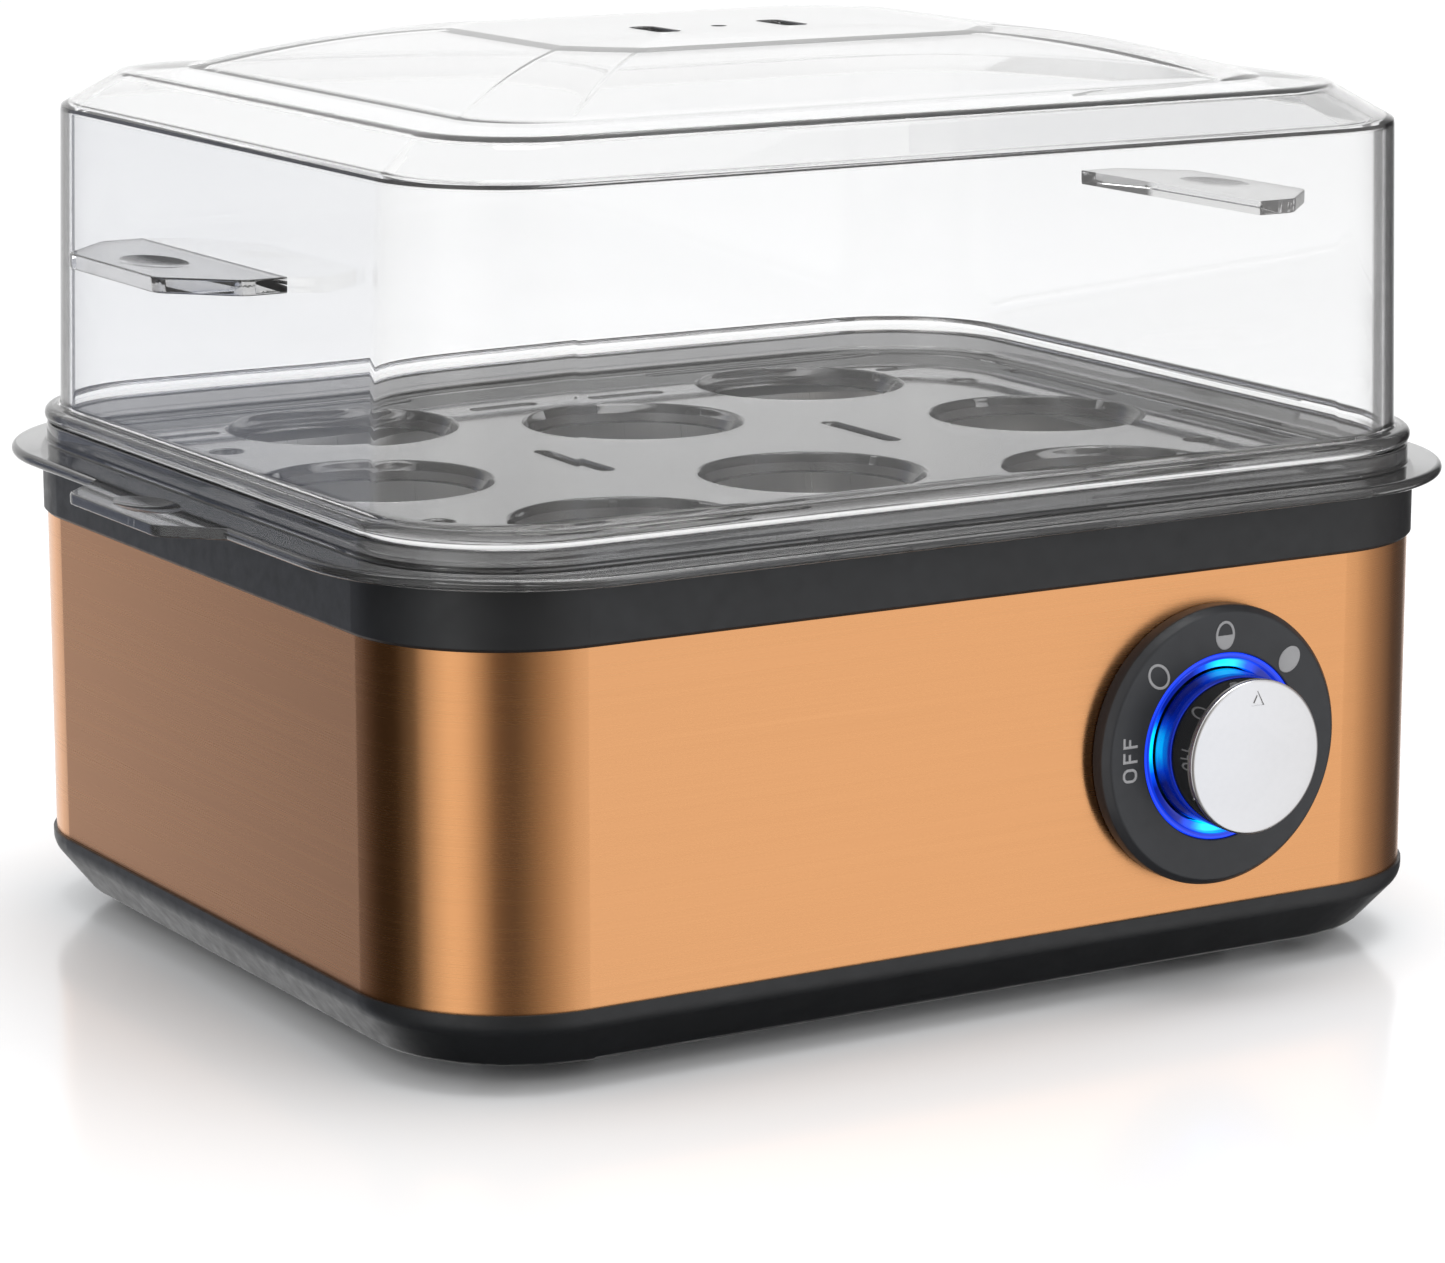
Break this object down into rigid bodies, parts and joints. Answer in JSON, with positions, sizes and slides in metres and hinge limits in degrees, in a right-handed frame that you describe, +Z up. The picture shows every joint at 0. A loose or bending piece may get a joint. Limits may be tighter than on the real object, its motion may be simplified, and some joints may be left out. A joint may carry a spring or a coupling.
{
  "type": "egg cooker",
  "caption": "Countertop egg cooker: copper-coloured steel body with a timer knob, a heated water dish, a lift-out smoke egg tray and a clear domed lid with lift tabs.",
  "frame": {"origin": "on the surface that the feet stand on, at the centre of the footprint with the knob and the tray included; the housing's own centre is at Y +2.775 mm", "axes": "+Z up, +X to the right and -Y towards the user, out of the dial"},
  "size_m": [0.208, 0.169, 0.1411],
  "materials": {
    "black_plastic": "satin, fine moulded grain",
    "copper_steel": "horizontally brushed, copper coloured",
    "stainless": "drawn, satin",
    "aluminium_cast": "cast",
    "heater_sheath": "annealed tube",
    "zinc_steel": "zinc plated",
    "foot_rubber": "matt",
    "seal_silicone": "matt",
    "thermostat_black": "phenolic",
    "fuse_brass": "plated",
    "bezel_plastic": "satin",
    "mark_print": "printed",
    "blue_light": "lit light guide",
    "board_green": "solder mask",
    "component_black": "moulded",
    "component_blue": "moulded",
    "component_yellow": "moulded",
    "terminal_white": "moulded",
    "lead_insulation": "silicone and glass braid",
    "label_silver": "blank",
    "knob_black": "polished",
    "knob_silver": "fine satin",
    "tray_smoke": "smoke-tinted, transparent",
    "lid_clear": "clear"
  },
  "bodies": {
    "base": {"base_pan": "black_plastic", "rubber_feet": "foot_rubber", "base_screws": "zinc_steel", "rating_plate": "label_silver", "sleeve": "copper_steel", "collar": "black_plastic", "dish_seal": "seal_silicone", "heating_dish": "stainless", "dish_nuts": "zinc_steel", "heating_plate": "aluminium_cast", "heating_element": "heater_sheath", "element_terminals": "fuse_brass", "thermostat": "thermostat_black", "thermostat_bracket": "zinc_steel", "thermal_fuse": "fuse_brass", "fuse_clip": "zinc_steel", "bracket_screws": "zinc_steel", "dial_bezel": "bezel_plastic", "dial_marks": "mark_print", "light_ring": "blue_light", "dial_carrier": "black_plastic", "bezel_screws": "zinc_steel", "control_board": "board_green", "board_screws": "zinc_steel", "timer_control": "component_black", "ring_lights": "component_blue", "buzzer": "component_black", "power_relay": "component_blue", "film_capacitor": "component_yellow", "cord_gland": "foot_rubber", "terminal_block": "terminal_white", "terminal_screws": "zinc_steel", "internal_leads": "lead_insulation"},
    "knob": {"knob_spindle": "zinc_steel", "knob_body": "knob_black", "knob_cap": "knob_silver"},
    "tray": {"egg_tray": "tray_smoke"},
    "cover": {"lid": "lid_clear"}
  },
  "joints": [
    {"name": "tray_lift", "type": "slide", "parent": "base", "child": "tray", "axis": [0, 0, 1], "range_m": [0, 0.1]},
    {"name": "lid_lift", "type": "slide", "parent": "tray", "child": "cover", "axis": [0, 0, 1], "range_m": [0, 0.1]},
    {"name": "timer_turn", "type": "hinge", "parent": "base", "child": "knob", "pos_m": [0.0407, -0.07723, 0.0378], "axis": [0, 1, 0], "range_deg": [-90, 45]}
  ]
}
